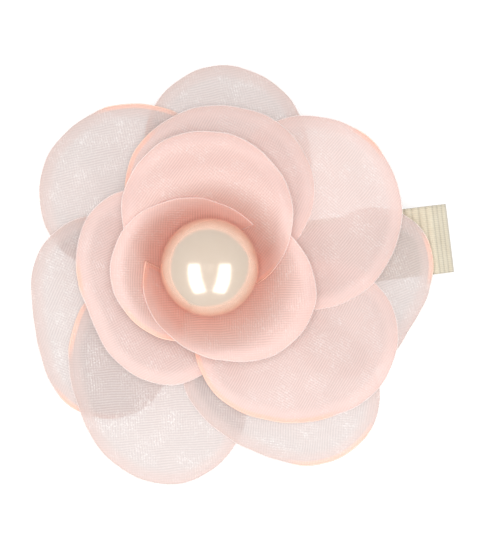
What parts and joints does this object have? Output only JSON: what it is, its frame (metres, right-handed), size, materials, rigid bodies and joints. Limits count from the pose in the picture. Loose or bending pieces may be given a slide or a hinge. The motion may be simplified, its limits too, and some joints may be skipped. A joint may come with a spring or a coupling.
{
  "type": "flower hair clip",
  "caption": "Layered sheer pink fabric flower with a pearl centre, on a ribbon-covered spring alligator clip whose lower jaw opens to grip hair.",
  "frame": {"origin": "on the flat underside of the lower jaw, straight below the pearl's centre", "axes": "+X along the clip to its tip, +Z the way the flower faces, Y along the hinge pin"},
  "size_m": [0.0611, 0.0591, 0.034],
  "materials": {
    "clip_steel": "nickel-plated pressed steel, lightly brushed",
    "spring_steel": "drawn spring wire",
    "grosgrain": "ivory ribbed ribbon",
    "felt": "pale pressed felt",
    "glue": "set hot-melt glue",
    "pearl": "pearlescent lacquer",
    "organza": "sheer satin organza, heat-cut edge"
  },
  "bodies": {
    "flower_and_upper_jaw": {"upper_jaw": "clip_steel", "hinge_pin": "clip_steel", "torsion_spring": "spring_steel", "ribbon_cover": "grosgrain", "felt_pad": "felt", "glue_core": "glue", "pearl": "pearl", "outer_petal_1": "organza", "outer_petal_2": "organza", "outer_petal_3": "organza", "outer_petal_4": "organza", "outer_petal_5": "organza", "outer_petal_6": "organza", "middle_petal_1": "organza", "middle_petal_2": "organza", "middle_petal_3": "organza", "middle_petal_4": "organza", "inner_petal_1": "organza", "inner_petal_2": "organza", "inner_petal_3": "organza"},
    "lower_jaw": {"lower_jaw": "clip_steel"}
  },
  "joints": [
    {"name": "jaw_hinge", "type": "hinge", "parent": "flower_and_upper_jaw", "child": "lower_jaw", "pos_m": [0.0015, 0, 0.0025], "axis": [0, 1, 0], "range_deg": [0, 25], "stiffness_Nm_per_rad": 0.05, "springref_deg": -34.38, "deforming": ["torsion_spring"]}
  ]
}
